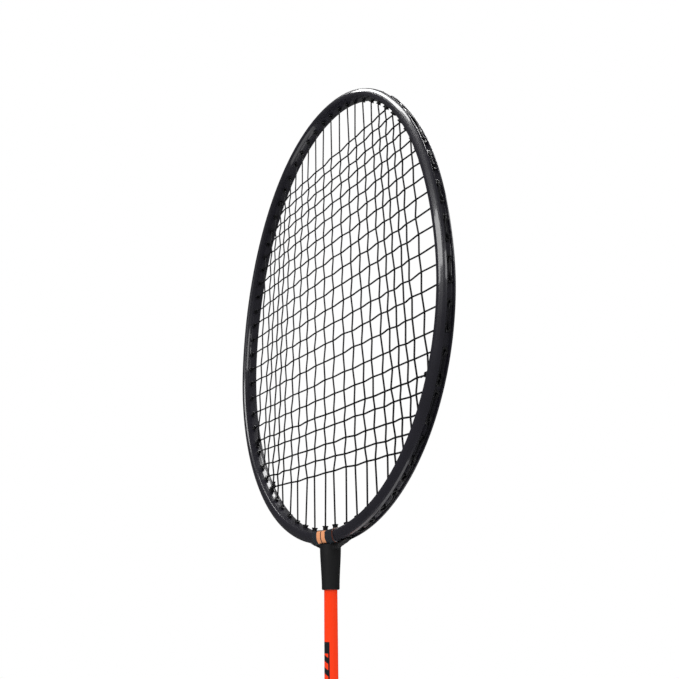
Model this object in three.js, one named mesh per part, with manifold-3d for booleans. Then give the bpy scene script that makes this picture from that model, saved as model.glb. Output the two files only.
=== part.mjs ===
// Badminton racket with a grooved aluminium hoop, strung bed, T-joint, steel shaft and
// wrapped wooden handle. Millimetres. The racket stands on its butt end: the origin is
// the centre of that end, +Z runs along the shaft to the head, X runs across the head
// and Y is square to the strings.

import * as THREE from 'three';
import { mergeVertices } from 'three/addons/utils/BufferGeometryUtils.js';
import Module from 'manifold-3d';

const wasm = await Module();
wasm.setup();

// ---- Driving dimensions ----

const racketLength = 675;
const headWidth = 205;
const headLength = 285;
const headWidest = 519.2; // height of the widest place, a little below the middle of the head
const headRoundness = 2.04; // 2 is a true ellipse, more is squarer

const tubeWidth = 6.4; // hoop tube, across its wall, in the plane of the strings
const tubeDepth = 10; // hoop tube, square to the strings
const tubeWall = 0.9;
const innerCorner = 2.4; // radius of the tube's edges on the inside of the hoop
const outerCorner = 2.2;
const hollowChamfer = 1.2;
const grooveWidth = 4.6;
const grooveDepth = 1.5;
const tubeEndFromMiddle = 1.5; // each end of the bent tube stops this far from x = 0

const stringRadius = 0.35;
const stringLane = 0.45; // mains run this far behind the middle plane, crosses in front
const tailLength = 1; // how far a string's end stands out of its grommet
const mainOffsets = [4.5, 14.5, 23.5, 32, 40, 48.5, 55, 61, 67.5, 73, 81.3];
const crossHeights = [
  99, 90.5, 81, 72.5, 63, 54, 44, 34, 23, 12.5, 1.5,
  -9.5, -20.5, -31, -42, -53.5, -63.5, -73.5, -81, -90.5, -98.5, -106,
]; // above the middle of the head

const barrelHalf = 1.25; // grommets are square here: half of each side
const barrelBoreHalf = 0.9;
const barrelProud = 1.4; // how far a grommet stands inside the hoop
const stripThickness = 0.45;
const stripWidth = 3.4;
const stripClearance = 0.1; // between a strip and the groove's floor
const loopClearance = 0.4; // between a strip and the string that lies on it
const stripEnd = 1.8; // how far a strip runs past its last grommet
const stripSizes = [7, 7, 8, 8, 7, 7]; // grommets in each strip of one side, from the T-joint up

const gap = 0.3; // between pieces that touch on the real racket
const tightGap = 0.15;
const overrun = 1; // how far a cutter runs past the piece that it cuts

const bandHalfLength = 10.5;
const bandThickness = 0.7;
const coneTopRadius = 5.45;
const coneEndRadius = 4.5;
const coneLength = 21;
const coneStraight = 4; // the part of the cone below its top that doesn't taper
const coneBevel = 0.5;
const webReach = 10.3;
const webRise = 0.3; // how far a web's tip stands above the top of the cone
const webInset = 0.5; // how far a web's foot runs into the cone
const webThickness = 4;
const webDrop = 4.6;
const bottomSteps = 7; // frames along a piece that follows the bottom of the hoop
const coreArmLength = 13;
const coreArmInset = 0.25;
const coreNeckWidth = 2.4;
const coreNeckDepth = 4.6;
const coreStemRadius = 2.45;
const coreStemLength = 36;

const shaftRadius = 3.35;
const shaftWall = 0.6;
const shaftBottom = 150;
const pinRadius = 1.2;
const pinHeight = 160;
const pinLength = 18;

const handleWidth = 24;
const handleDepth = 21.5;
const handleTop = 172;
const handleFlatX = 0.52; // share of the width that the front and back flats take
const handleFlatY = 0.45; // share of the depth that the side flats take
const flareTop = 30;
const flareBottom = 8;
const flareGrowth = 1.7; // how much each side of the handle grows at the butt
const spigotTop = 184;
const spigotInset = 3.5;
const handleConeSkirt = 180;
const handleConeWaist = 192;
const handleConeWaistShare = 0.55; // how much of its narrowing the cone has done at its waist
const handleConeTop = 206;
const handleConeTopWidth = 10.6;
const gripThickness = 1.7;
const gripTop = 179;
const finishTapeThickness = 0.4;
const finishTapeBottom = 168;
const buttFloor = 2.5;
const buttRim = 7;
const buttWall = 1.2;
const badgeRadius = 7.7;
const badgeThickness = 0.6;

// ---- Derived places ----

const acrossAxis = new THREE.Vector3(0, 1, 0);
const headMiddle = racketLength - headLength / 2;
const hoopHalfWidth = (headWidth - tubeWidth) / 2;
const tubeHalf = tubeWidth / 2;
const hoopTop = racketLength - tubeHalf; // height of the tube's centre line at its top
const hoopBottom = racketLength - headLength + tubeHalf; // and at the T-joint
const grooveFloor = tubeHalf - grooveDepth;
const stripInner = grooveFloor + stripClearance;
const stripOuter = stripInner + stripThickness;
const grooveString = stripOuter + loopClearance + stringRadius; // a string's centre in the groove
const barrelMouth = -(tubeHalf + barrelProud);
const stringBend = barrelMouth - gap; // a string's centre where it leaves the grommet
const bandInner = gap;
const bandOuter = gap + bandThickness;
const bandUnderside = hoopBottom - tubeHalf - bandOuter;
const coneTop = bandUnderside - gap;
const shaftTop = coneTop - gap;
const gripInner = gap;
const gripOuter = gripInner + gripThickness;
const tapeInner = gripOuter + tightGap;
const tapeOuter = tapeInner + finishTapeThickness;

// ---- Geometry helpers ----

// Places the points of a flat outline on the u and v axes of a frame.
function ring(outline, { origin, u, v }) {
  const points = outline.map((p) => origin.clone().addScaledVector(u, p.x).addScaledVector(v, p.y));
  return { outline, points };
}

// Closed skin over a row of rings with equal point counts. The outlines run
// anticlockwise, and u cross v points along the row.
function skin(rings) {
  const count = rings[0].points.length;
  const positions = rings.flatMap((r) => r.points.flatMap((p) => p.toArray()));
  const index = [];
  for (let row = 0; row < rings.length - 1; row += 1) {
    for (let i = 0; i < count; i += 1) {
      const next = (i + 1) % count;
      const [a, b] = [row * count + i, row * count + next];
      index.push(a, b, b + count, a, b + count, a + count);
    }
  }
  const last = (rings.length - 1) * count;
  for (const [a, b, c] of THREE.ShapeUtils.triangulateShape(rings[0].outline, [])) {
    index.push(c, b, a);
  }
  for (const [a, b, c] of THREE.ShapeUtils.triangulateShape(rings.at(-1).outline, [])) {
    index.push(last + a, last + b, last + c);
  }
  const geometry = new THREE.BufferGeometry();
  geometry.setAttribute('position', new THREE.Float32BufferAttribute(positions, 3));
  geometry.setIndex(index);
  return geometry;
}

function sweep(outline, frames) {
  return skin(frames.map((frame) => ring(outline, frame)));
}

function toSolid(geometry) {
  const bare = geometry.clone();
  bare.deleteAttribute('normal');
  bare.deleteAttribute('uv');
  const merged = mergeVertices(bare, 1e-4);
  return new wasm.Manifold(new wasm.Mesh({
    numProp: 3,
    vertProperties: merged.attributes.position.array,
    triVerts: new Uint32Array(merged.index.array),
  }));
}

function toGeometry(solid) {
  const { vertProperties, triVerts } = solid.getMesh();
  const geometry = new THREE.BufferGeometry();
  geometry.setAttribute('position', new THREE.BufferAttribute(vertProperties, 3));
  geometry.setIndex(new THREE.BufferAttribute(triVerts, 1));
  return geometry;
}

function join(geometries) {
  const solids = geometries.map(toSolid);
  return toGeometry(solids.reduce((all, solid) => all.add(solid)));
}

function cut(geometry, cutters) {
  const solids = cutters.map(toSolid);
  return toGeometry(solids.reduce((all, solid) => all.subtract(solid), toSolid(geometry)));
}

function points2(pairs) {
  return pairs.map(([x, y]) => new THREE.Vector2(x, y));
}

// Outline that is the same on both sides of its u axis, from the pairs of one side.
function mirrored(pairs) {
  const otherSide = pairs.map(([u, v]) => [u, -v]).reverse();
  return points2([...pairs, ...otherSide]).reverse();
}

function hexagon(radius) {
  const corners = [...Array(6).keys()].map((i) => (i + 0.5) * Math.PI / 3);
  return corners.map((angle) => new THREE.Vector2(radius * Math.cos(angle), radius * Math.sin(angle)));
}

// Upright cylinder between two heights.
function rod(radius, low, high, sides = 20) {
  const geometry = new THREE.CylinderGeometry(radius, radius, high - low, sides);
  geometry.rotateX(Math.PI / 2);
  return geometry.translate(0, 0, (low + high) / 2);
}

// ---- The hoop's centre line ----
// The turn is 0 at the T-joint, a quarter at +X, half at the top and three quarters at -X.

// Half of an oval above the widest place and a shorter half below it.
function hoopReach(below) {
  return below ? headWidest - hoopBottom : hoopTop - headWidest;
}

function hoopPoint(turn) {
  const power = 2 / headRoundness;
  const across = Math.sin(turn);
  const down = Math.cos(turn);
  return new THREE.Vector3(
    hoopHalfWidth * Math.sign(across) * Math.abs(across) ** power,
    0,
    headWidest - hoopReach(down > 0) * Math.sign(down) * Math.abs(down) ** power,
  );
}

// Frame at a turn: u points out of the hoop and v along Y.
function hoopFrame(turn) {
  const origin = hoopPoint(turn);
  const reach = hoopReach(origin.z < headWidest);
  const x = origin.x / hoopHalfWidth;
  const z = (origin.z - headWidest) / reach;
  const u = new THREE.Vector3(
    Math.sign(x) * Math.abs(x) ** (headRoundness - 1) / hoopHalfWidth,
    0,
    Math.sign(z) * Math.abs(z) ** (headRoundness - 1) / reach,
  ).normalize();
  return { origin, u, v: acrossAxis };
}

// Point that stands out from the centre line by a distance, at a height across the tube.
function hoopOffset(turn, out, across = 0) {
  const { origin, u } = hoopFrame(turn);
  return origin.addScaledVector(u, out).setY(across);
}

// Turn reached by going a distance along the centre line.
function advance(turn, distance) {
  const step = 0.001;
  const speed = hoopPoint(turn + step).distanceTo(hoopPoint(turn - step)) / (2 * step);
  return turn + distance / speed;
}

// ---- Where each string passes through the hoop ----

// Turn between two limits where a rising measure of the grommet's mouth reaches a value.
function solveTurn(measure, value, low, high) {
  const middle = (low + high) / 2;
  if (Math.abs(high - low) < 1e-6) {
    return middle;
  }
  const reached = measure(hoopOffset(middle, stringBend)) > value;
  return reached ? solveTurn(measure, value, low, middle) : solveTurn(measure, value, middle, high);
}

function mirrorTurn(turn) {
  return 2 * Math.PI - turn;
}

// A main's two holes, for a main to the right of the middle.
function mainHoles(offset) {
  const bottom = solveTurn((mouth) => mouth.x, offset, 0, Math.PI / 2);
  const top = solveTurn((mouth) => -mouth.x, -offset, Math.PI / 2, Math.PI);
  return { bottom, top };
}

function crossHoles(height) {
  const right = solveTurn((mouth) => mouth.z, headMiddle + height, 0, Math.PI);
  return { right, left: mirrorTurn(right) };
}

const rightMains = mainOffsets.map(mainHoles);
const leftMains = rightMains.map(({ bottom, top }) => ({ bottom: mirrorTurn(bottom), top: mirrorTurn(top) }));
const mains = [...leftMains.reverse(), ...rightMains]; // from -X to +X
const crosses = crossHeights.map(crossHoles); // from the top down
const rightTurns = [
  ...rightMains.flatMap(({ bottom, top }) => [bottom, top]),
  ...crosses.map(({ right }) => right),
].sort((a, b) => a - b);
const allTurns = [...rightTurns, ...rightTurns.map(mirrorTurn).reverse()];

function betweenNeighbours(turns) {
  return turns.slice(1).map((turn, i) => (turn + turns[i]) / 2);
}

function square(half) {
  return points2([[-half, -half], [half, -half], [half, half], [-half, half]]);
}

// Square prism along a grommet's axis, between two distances from the centre line.
function hoopPrism(turn, half, low, high) {
  const { origin, u } = hoopFrame(turn);
  const along = u.clone().cross(acrossAxis);
  const frames = [low, high].map((out) => (
    { origin: origin.clone().addScaledVector(u, out), u: acrossAxis, v: along }
  ));
  return sweep(square(half), frames);
}

// ---- Head ----

// A round corner's three points, as distances from the two flats that it joins.
function cornerPoints(radius) {
  const middle = radius * (1 - Math.SQRT1_2);
  return [[0, radius], [middle, middle], [radius, 0]];
}

// One side of the tube's outline, from the inside of the hoop to its outside.
function tubeSide(proud = 0) {
  const side = tubeDepth / 2 + proud;
  const out = tubeHalf + proud;
  const inner = cornerPoints(innerCorner).map(([u, v]) => [-out + u, side - v]);
  const outer = cornerPoints(outerCorner).map(([u, v]) => [out - u, side - v]);
  return [...inner, ...outer.reverse()];
}

function tubeOutline(proud) {
  return mirrored(tubeSide(proud));
}

function groovedOutline() {
  return mirrored([...tubeSide(), [tubeHalf, grooveWidth / 2], [grooveFloor, grooveWidth / 2]]);
}

// Outline of the tube's hollow, or of a plug that fits it with a clearance.
function hollowOutline(inset = 0) {
  const side = tubeDepth / 2 - tubeWall - inset;
  const inner = -tubeHalf + tubeWall + inset;
  const outer = grooveFloor - tubeWall - inset;
  return mirrored([
    [inner, side - hollowChamfer],
    [inner + hollowChamfer, side],
    [outer - hollowChamfer, side],
    [outer, side - hollowChamfer],
  ]);
}

function headFrame() {
  const start = advance(0, tubeEndFromMiddle);
  const turns = [start, ...betweenNeighbours(allTurns), mirrorTurn(start)];
  const startOfHollow = advance(0, tubeEndFromMiddle - overrun);
  const beyond = [startOfHollow, ...turns.slice(1, -1), mirrorTurn(startOfHollow)];
  const tube = sweep(groovedOutline(), turns.map(hoopFrame));
  const hollow = sweep(hollowOutline(), beyond.map(hoopFrame));
  const holes = allTurns.map((turn) => (
    hoopPrism(turn, barrelHalf + gap, -tubeWidth, tubeWidth)
  ));
  return cut(tube, [hollow, ...holes]);
}

// One strip of grommets: a thin web in the groove with a barrel at each string.
function grommetStrip(turns) {
  const webTurns = [
    advance(turns[0], -stripEnd),
    ...betweenNeighbours(turns),
    advance(turns.at(-1), stripEnd),
  ];
  const halfWidth = stripWidth / 2;
  const web = sweep(mirrored([[stripInner, halfWidth], [stripOuter, halfWidth]]), webTurns.map(hoopFrame));
  const barrelEnd = (stripInner + stripOuter) / 2;
  const barrels = turns.map((turn) => hoopPrism(turn, barrelHalf, barrelMouth, barrelEnd));
  const bores = turns.map((turn) => (
    hoopPrism(turn, barrelBoreHalf, barrelMouth - overrun, stripOuter + overrun)
  ));
  return cut(join([web, ...barrels]), bores);
}

// Round string through a list of points that share one height across the tube.
function stringAlong(points) {
  const frames = points.map((point, i) => {
    const before = point.clone().sub(points[Math.max(i - 1, 0)]).normalize();
    const after = points[Math.min(i + 1, points.length - 1)].clone().sub(point).normalize();
    const along = before.clone().add(after).normalize();
    const halfBend = (before.lengthSq() && after.lengthSq()) ? before.angleTo(after) / 2 : 0;
    const u = acrossAxis.clone().cross(along).multiplyScalar(1 / Math.cos(halfBend));
    return { origin: point, u, v: acrossAxis };
  });
  return sweep(hexagon(stringRadius), frames);
}

// A string that runs through pairs of holes in turn. Its two tails lie in the groove
// and come back in through the grommets next door, where they are tied off.
function threadedString(runs, tails, lane) {
  const inAndOut = runs.flatMap(([from, to]) => [
    hoopOffset(from, grooveString, lane),
    hoopOffset(from, stringBend, lane),
    hoopOffset(to, stringBend, lane),
    hoopOffset(to, grooveString, lane),
  ]);
  const [first, last] = tails.map((turn) => [
    hoopOffset(turn, stringBend - tailLength, lane),
    hoopOffset(turn, grooveString, lane),
  ]);
  return stringAlong([...first, ...inAndOut, ...last.reverse()]);
}

// The hole out of a list that is closest to a turn.
function nearestHole(holes, turn) {
  return holes.reduce((best, hole) => (Math.abs(hole - turn) < Math.abs(best - turn) ? hole : best));
}

function mainString() {
  const runs = mains.map(({ bottom, top }, i) => (i % 2 ? [top, bottom] : [bottom, top]));
  const tails = [
    nearestHole(crosses.map(({ left }) => left), mains[0].bottom),
    nearestHole(crosses.map(({ right }) => right), mains.at(-1).bottom),
  ];
  return threadedString(runs, tails, stringLane);
}

function crossString() {
  const runs = crosses.map(({ left, right }, i) => (i % 2 ? [right, left] : [left, right]));
  const tails = [
    nearestHole(mains.map(({ top }) => top), crosses[0].left),
    nearestHole(mains.map(({ bottom }) => bottom), crosses.at(-1).left),
  ];
  return threadedString(runs, tails, -stringLane);
}

// ---- T-joint ----

function framesAlongBottom(halfLength, count) {
  const steps = [...Array(count).keys()].map((i) => (2 * i) / (count - 1) - 1);
  return steps.map((step) => hoopFrame(advance(0, step * halfLength)));
}

// Collar round the bottom of the hoop, with holes for the two middle grommets and the stem.
function jointBand() {
  const collar = sweep(tubeOutline(bandOuter), framesAlongBottom(bandHalfLength, bottomSteps));
  const inside = sweep(tubeOutline(bandInner), framesAlongBottom(bandHalfLength + overrun, bottomSteps));
  const middleHoles = [rightTurns[0], -rightTurns[0]].map((turn) => (
    hoopPrism(turn, barrelHalf + gap, -2 * tubeWidth, 0)
  ));
  const stemHole = rod(coreStemRadius + gap, bandUnderside - overrun, hoopBottom);
  return cut(collar, [inside, ...middleHoles, stemHole]);
}

// Metal T: two arms inside the tube ends, a neck between them and a stem in the shaft.
function jointCore() {
  const arms = sweep(hollowOutline(coreArmInset), framesAlongBottom(coreArmLength, bottomSteps));
  const neckHeight = hoopBottom - coneTop + 2 * overrun;
  const neck = new THREE.BoxGeometry(coreNeckWidth, coreNeckDepth, neckHeight);
  neck.translate(0, 0, (hoopBottom + coneTop) / 2);
  const stem = rod(coreStemRadius, coneTop - coreStemLength, coneTop);
  const holes = [rightTurns[0], -rightTurns[0]].map((turn) => (
    hoopPrism(turn, barrelHalf + gap, -tubeWidth, tubeWidth)
  ));
  return cut(join([arms, neck, stem]), holes);
}

// Ferrule below the hoop, with a web on each side that runs out under the collar.
function jointCone() {
  const end = coneTop - coneLength;
  const body = new THREE.LatheGeometry(points2([
    [0, end],
    [coneEndRadius - coneBevel, end],
    [coneEndRadius, end + coneBevel],
    [coneTopRadius, coneTop - coneStraight],
    [coneTopRadius, coneTop],
    [0, coneTop],
  ]), 24).rotateX(Math.PI / 2);
  const web = new THREE.Shape();
  web.moveTo(-webReach, coneTop + webRise);
  web.quadraticCurveTo(-coneTopRadius, coneTop - webRise, -coneTopRadius + webInset, coneTop - webDrop);
  web.lineTo(coneTopRadius - webInset, coneTop - webDrop);
  web.quadraticCurveTo(coneTopRadius, coneTop - webRise, webReach, coneTop + webRise);
  web.quadraticCurveTo(0, coneTop - webRise, -webReach, coneTop + webRise);
  const thick = { depth: webThickness, bevelEnabled: false, curveSegments: 5 };
  const plate = new THREE.ExtrudeGeometry(web, thick);
  plate.rotateX(Math.PI / 2).translate(0, webThickness / 2, 0);
  return cut(join([body, plate]), [rod(shaftRadius + tightGap, end - overrun, coneTop + overrun)]);
}

// ---- Shaft ----

function acrossPin(radius, length) {
  const pin = new THREE.CylinderGeometry(radius, radius, length, 10);
  return pin.rotateZ(Math.PI / 2).translate(0, 0, pinHeight);
}

function shaft() {
  const tube = rod(shaftRadius, shaftBottom, shaftTop, 24);
  const bore = rod(shaftRadius - shaftWall, shaftBottom - overrun, shaftTop + overrun, 24);
  return cut(tube, [bore, acrossPin(pinRadius + gap, 4 * shaftRadius)]);
}

// ---- Handle ----

// Eight-sided outline, as wide as the handle plus a margin on every side.
function handleOutline(margin) {
  const x = handleWidth / 2 + margin;
  const y = handleDepth / 2 + margin;
  const flatX = x * handleFlatX;
  const flatY = y * handleFlatY;
  return points2([
    [x, -flatY], [x, flatY], [flatX, y], [-flatX, y], [-x, flatY], [-x, -flatY], [-flatX, -y], [flatX, -y],
  ]);
}

// How much the handle has grown at a height, because of the flare at its butt.
function flareAt(height) {
  const share = THREE.MathUtils.clamp((flareTop - height) / (flareTop - flareBottom), 0, 1);
  return flareGrowth * share;
}

// Solid with the handle's outline, following its flare, a margin larger on every side.
function handleSolid(margin, low, high) {
  const heights = [low, ...[flareBottom, flareTop].filter((z) => z > low && z < high), high];
  return skin(heights.map((z) => ring(handleOutline(margin + flareAt(z)), {
    origin: new THREE.Vector3(0, 0, z),
    u: new THREE.Vector3(1, 0, 0),
    v: acrossAxis,
  })));
}

function handleCore() {
  const wood = join([
    handleSolid(0, buttFloor + gap, handleTop),
    handleSolid(-spigotInset, handleTop - overrun, spigotTop),
  ]);
  const bore = rod(shaftRadius + tightGap, shaftBottom - gap, spigotTop + overrun, 24);
  return cut(wood, [bore, acrossPin(pinRadius + tightGap, pinLength + 2 * gap)]);
}

function handleCone() {
  const low = handleTop + gap;
  const narrow = (handleConeTopWidth - handleWidth) / 2;
  const steps = [
    [low, 0],
    [handleConeSkirt, 0],
    [handleConeWaist, narrow * handleConeWaistShare],
    [handleConeTop, narrow],
  ];
  const outside = skin(steps.map(([z, margin]) => ring(handleOutline(margin), {
    origin: new THREE.Vector3(0, 0, z),
    u: new THREE.Vector3(1, 0, 0),
    v: acrossAxis,
  })));
  const socket = handleSolid(gap - spigotInset, low - overrun, spigotTop + gap);
  return cut(outside, [socket, rod(shaftRadius + tightGap, low, handleConeTop + overrun, 24)]);
}

// Sleeve round the handle between two margins.
function handleSleeve(innerMargin, outerMargin, low, high) {
  return cut(handleSolid(outerMargin, low, high), [handleSolid(innerMargin, low - overrun, high + overrun)]);
}

function buttCap() {
  const outside = handleSolid(gap + buttWall, 0, buttRim);
  const inside = handleSolid(gap, buttFloor, buttRim + overrun);
  const recess = rod(badgeRadius + tightGap, -overrun, badgeThickness + 2 * tightGap, 32);
  return cut(outside, [inside, recess]);
}

// ---- Assembly ----

const racket = new THREE.Group();

function addPiece(name, geometry, color, roughness, metalness) {
  const material = new THREE.MeshStandardMaterial({ color, roughness, metalness });
  const mesh = new THREE.Mesh(geometry, material);
  mesh.name = name;
  racket.add(mesh);
}

addPiece('head_frame', headFrame(), 0x15161a, 0.32, 0.4);
addPiece('main_string', mainString(), 0x101014, 0.45, 0);
addPiece('cross_string', crossString(), 0x101014, 0.45, 0);

function addStrips(side, turns) {
  let first = 0;
  stripSizes.forEach((size, i) => {
    const members = turns.slice(first, first + size).sort((a, b) => a - b);
    addPiece(`grommet_strip_${side}_${i + 1}`, grommetStrip(members), 0x0c0c0e, 0.4, 0);
    first += size;
  });
}

addStrips('right', rightTurns);
addStrips('left', rightTurns.map(mirrorTurn));

addPiece('t_joint_band', jointBand(), 0x14181e, 0.3, 0.2);
addPiece('t_joint_core', jointCore(), 0x9a9ca0, 0.5, 0.9);
addPiece('t_joint_cone', jointCone(), 0x161617, 0.65, 0);
addPiece('shaft', shaft(), 0xff4a0f, 0.25, 0.1);
addPiece('shaft_pin', acrossPin(pinRadius, pinLength), 0xa8aaae, 0.4, 0.9);

addPiece('handle_core', handleCore(), 0xc79a63, 0.7, 0);
addPiece('handle_cone', handleCone(), 0x161617, 0.5, 0);
addPiece('grip_wrap', handleSleeve(gripInner, gripOuter, buttRim + gap, gripTop), 0x131313, 0.85, 0);
addPiece(
  'grip_finish_tape',
  handleSleeve(tapeInner, tapeOuter, finishTapeBottom, gripTop),
  0x1b1b1d,
  0.5,
  0,
);
addPiece('butt_cap', buttCap(), 0x141414, 0.5, 0);
addPiece('butt_badge', rod(badgeRadius, tightGap, badgeThickness + tightGap, 32), 0xff4a0f, 0.3, 0.1);

export default racket;
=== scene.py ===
"""Badminton racket: the looks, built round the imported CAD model.

Shapes are in millimetres, and materials and lights in metres. The axes are the model's own:
+Z runs along the shaft to the head, X across the head, Y square to the strings. Heights are
measured from the butt end.
"""

import math

import bmesh
import bpy
import numpy as np
from mathutils import Matrix, Vector


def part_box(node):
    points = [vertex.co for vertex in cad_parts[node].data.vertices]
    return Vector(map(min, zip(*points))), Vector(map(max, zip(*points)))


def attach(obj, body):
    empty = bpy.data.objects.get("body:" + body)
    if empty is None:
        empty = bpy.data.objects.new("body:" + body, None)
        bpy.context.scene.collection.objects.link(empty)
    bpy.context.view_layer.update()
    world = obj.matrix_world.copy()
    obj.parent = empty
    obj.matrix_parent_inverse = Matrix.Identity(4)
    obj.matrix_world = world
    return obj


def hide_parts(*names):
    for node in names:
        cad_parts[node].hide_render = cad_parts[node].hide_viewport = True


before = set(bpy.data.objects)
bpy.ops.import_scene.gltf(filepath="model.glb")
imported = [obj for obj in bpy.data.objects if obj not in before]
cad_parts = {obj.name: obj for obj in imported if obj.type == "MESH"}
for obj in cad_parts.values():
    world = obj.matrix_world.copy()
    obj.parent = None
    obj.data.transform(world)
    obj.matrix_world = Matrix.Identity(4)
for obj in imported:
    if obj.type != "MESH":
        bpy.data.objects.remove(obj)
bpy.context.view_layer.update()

MM = 0.001
UP = np.array([0.0, 0.0, 1.0])
ACROSS_HEAD = np.array([1.0, 0.0, 0.0])
SQUARE_TO_STRINGS = np.array([0.0, 1.0, 0.0])
QUARTER_TURN, HALF_TURN, FULL_TURN = math.pi / 2, math.pi, 2 * math.pi
SEED = 11

# ---- Sizes shared with the CAD model ----

head_low, head_high = (np.array(corner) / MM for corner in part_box("head_frame"))
TUBE_WIDTH = 6.4
TUBE_DEPTH = head_high[1] - head_low[1]
TUBE_WALL = 0.9
GROOVE_WIDTH = 4.6
GROOVE_DEPTH = 1.5
HEAD_ROUNDNESS = 2.04  # 2 is a true ellipse, more is squarer
HOOP_HALF_WIDTH = head_high[0] - TUBE_WIDTH / 2
HEAD_MIDDLE = (head_high[2] + head_low[2]) / 2
HEAD_WIDEST = 519.2  # height of the widest place, a little below the middle
TUBE_HALF = TUBE_WIDTH / 2
HOOP_TOP = head_high[2] - TUBE_HALF
HOOP_BOTTOM = head_low[2] + TUBE_HALF
TUBE_END = 1.5  # each end of the bent tube stops this far from the middle plane

STRING_RADIUS = 0.47
MAIN_OFFSETS = [4.5, 14.5, 23.5, 32, 40, 48.5, 55, 61, 67.5, 73, 81.3]
CROSS_HEIGHTS = [
    99, 90.5, 81, 72.5, 63, 54, 44, 34, 23, 12.5, 1.5,
    -9.5, -20.5, -31, -42, -53.5, -63.5, -73.5, -81, -90.5, -98.5, -106,
]  # above the middle of the head
STRIP_SIZES = [7, 7, 8, 8, 7, 7]  # grommets in each strip of one side, from the T-joint up

# Places across the tube: 0 is its centre line, and more is further out of the hoop.
GROOVE_FLOOR = TUBE_HALF - GROOVE_DEPTH
FLANGE_TOP = GROOVE_FLOOR + 1.05
GROMMET_MOUTH = -TUBE_HALF - 1.4
GROOVE_STRING = FLANGE_TOP + STRING_RADIUS  # a string's centre where it lies in the groove
STRING_BEND = GROMMET_MOUTH - 0.3  # and where it leaves a grommet

BAND_HALF_LENGTH = 10.5
BAND_PROUD = 0.5
SHAFT_RADIUS = 3.35
SHAFT_CLEARANCE = 0.06  # round the shaft, in the two cones
PIN_HEIGHT = 160.0


# ---- Shape helpers ----

NEARLY_HALF = 0.48  # keeps the rounds at the two ends of a step apart
NEARLY_ZERO = 1e-3  # stands in for 0 where a number is divided by
WELD_DISTANCE = 1e-6  # metres

# Directions that no string and no rod runs along.
STRING_ASKEW = np.array([0.31, 0.83, 0.47])
ROD_ASKEW = np.array([0.2, 0.9, 0.4])


def unit(vectors):
    return vectors / np.linalg.norm(vectors, axis=-1, keepdims=True)


def smooth_step(values):
    """Eases from 0 to 1 as the values go from 0 to 1, and holds beyond."""
    share = np.clip(values, 0, 1)
    return share * share * (3 - 2 * share)


def rounded(corners, steps=5):
    """Closed outline through (x, y, radius) corners, each turned into an arc."""
    points = []
    for i, (x, y, radius) in enumerate(corners):
        corner = np.array([x, y], float)
        before = unit(np.array(corners[i - 1][:2], float) - corner)
        after = unit(np.array(corners[(i + 1) % len(corners)][:2], float) - corner)
        half = math.acos(np.clip(before @ after, -1, 1)) / 2
        centre = corner + unit(before + after) * radius / math.sin(half)
        start = corner + before * radius / math.tan(half) - centre
        end = corner + after * radius / math.tan(half) - centre
        spread = math.pi - 2 * half
        for share in np.linspace(0, 1, steps):
            arm = start * math.sin((1 - share) * spread) + end * math.sin(share * spread)
            points.append(centre + arm / math.sin(spread))
    return np.array(points)


def mirrored(corners):
    """Both sides of an outline from the corners on its +y side."""
    return corners + [(x, -y, radius) for x, y, radius in reversed(corners)]


def loft(rings, joined=False):
    """Points and faces of a skin over equal rings. It is capped, or joined end to end."""
    rings = np.asarray(rings)
    rows, columns = rings.shape[:2]
    faces = []
    for row in range(rows if joined else rows - 1):
        near = row * columns
        far = ((row + 1) % rows) * columns
        for column in range(columns):
            beside = (column + 1) % columns
            faces.append((near + column, near + beside, far + beside, far + column))
    if not joined:
        faces.append(tuple(range(columns)))
        faces.append(tuple(range((rows - 1) * columns, rows * columns)))
    return rings.reshape(-1, 3), faces


def gathered(parts):
    """Several (points, faces) pairs as one."""
    points = np.concatenate([part_points for part_points, _ in parts])
    faces = []
    start = 0
    for part_points, part_faces in parts:
        faces += [tuple(index + start for index in face) for face in part_faces]
        start += len(part_points)
    return points, faces


def circle_about(axis, side, steps):
    """Circle with a radius of 1, square to an axis and starting at a side."""
    angles = np.linspace(0, FULL_TURN, steps, endpoint=False)[:, None]
    return np.cos(angles) * side + np.sin(angles) * np.cross(axis, side)


def lathed(profile, steps, origin=(0, 0, 0), axis=UP):
    """Closed (radius, height) profile turned round an axis through the origin."""
    around = circle_about(axis, unit(np.cross(axis, SQUARE_TO_STRINGS)), steps)
    rings = np.array(origin) + profile[None, :, 0, None] * around[:, None, :]
    return loft(rings + profile[None, :, 1, None] * np.asarray(axis), joined=True)


def softened(points, cuts, steps=4):
    """Line through the points with each corner rounded from a cut's length before it."""
    points = np.asarray(points, float)
    shares = np.linspace(0, 1, steps)[:, None]
    line = [points[:1]]
    for before, corner, after, cut in zip(points, points[1:], points[2:], cuts[1:-1]):
        back = before - corner
        ahead = after - corner
        start = corner + back * min(NEARLY_HALF, cut / np.linalg.norm(back))
        end = corner + ahead * min(NEARLY_HALF, cut / np.linalg.norm(ahead))
        line.append((1 - shares) ** 2 * start + 2 * shares * (1 - shares) * corner + shares ** 2 * end)
    line.append(points[-1:])
    return np.concatenate(line)


def tube(line, radius, sides=8):
    """Round skin along a line, with its seam kept from twisting."""
    steps = unit(np.diff(line, axis=0))
    along = unit(np.concatenate([steps[:1], steps[:-1] + steps[1:], steps[-1:]]))
    side = unit(np.cross(along[0], STRING_ASKEW))
    rings = []
    for centre, direction in zip(line, along):
        side = unit(side - direction * (side @ direction))
        rings.append(centre + radius * circle_about(direction, side, sides))
    return loft(rings)


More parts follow.
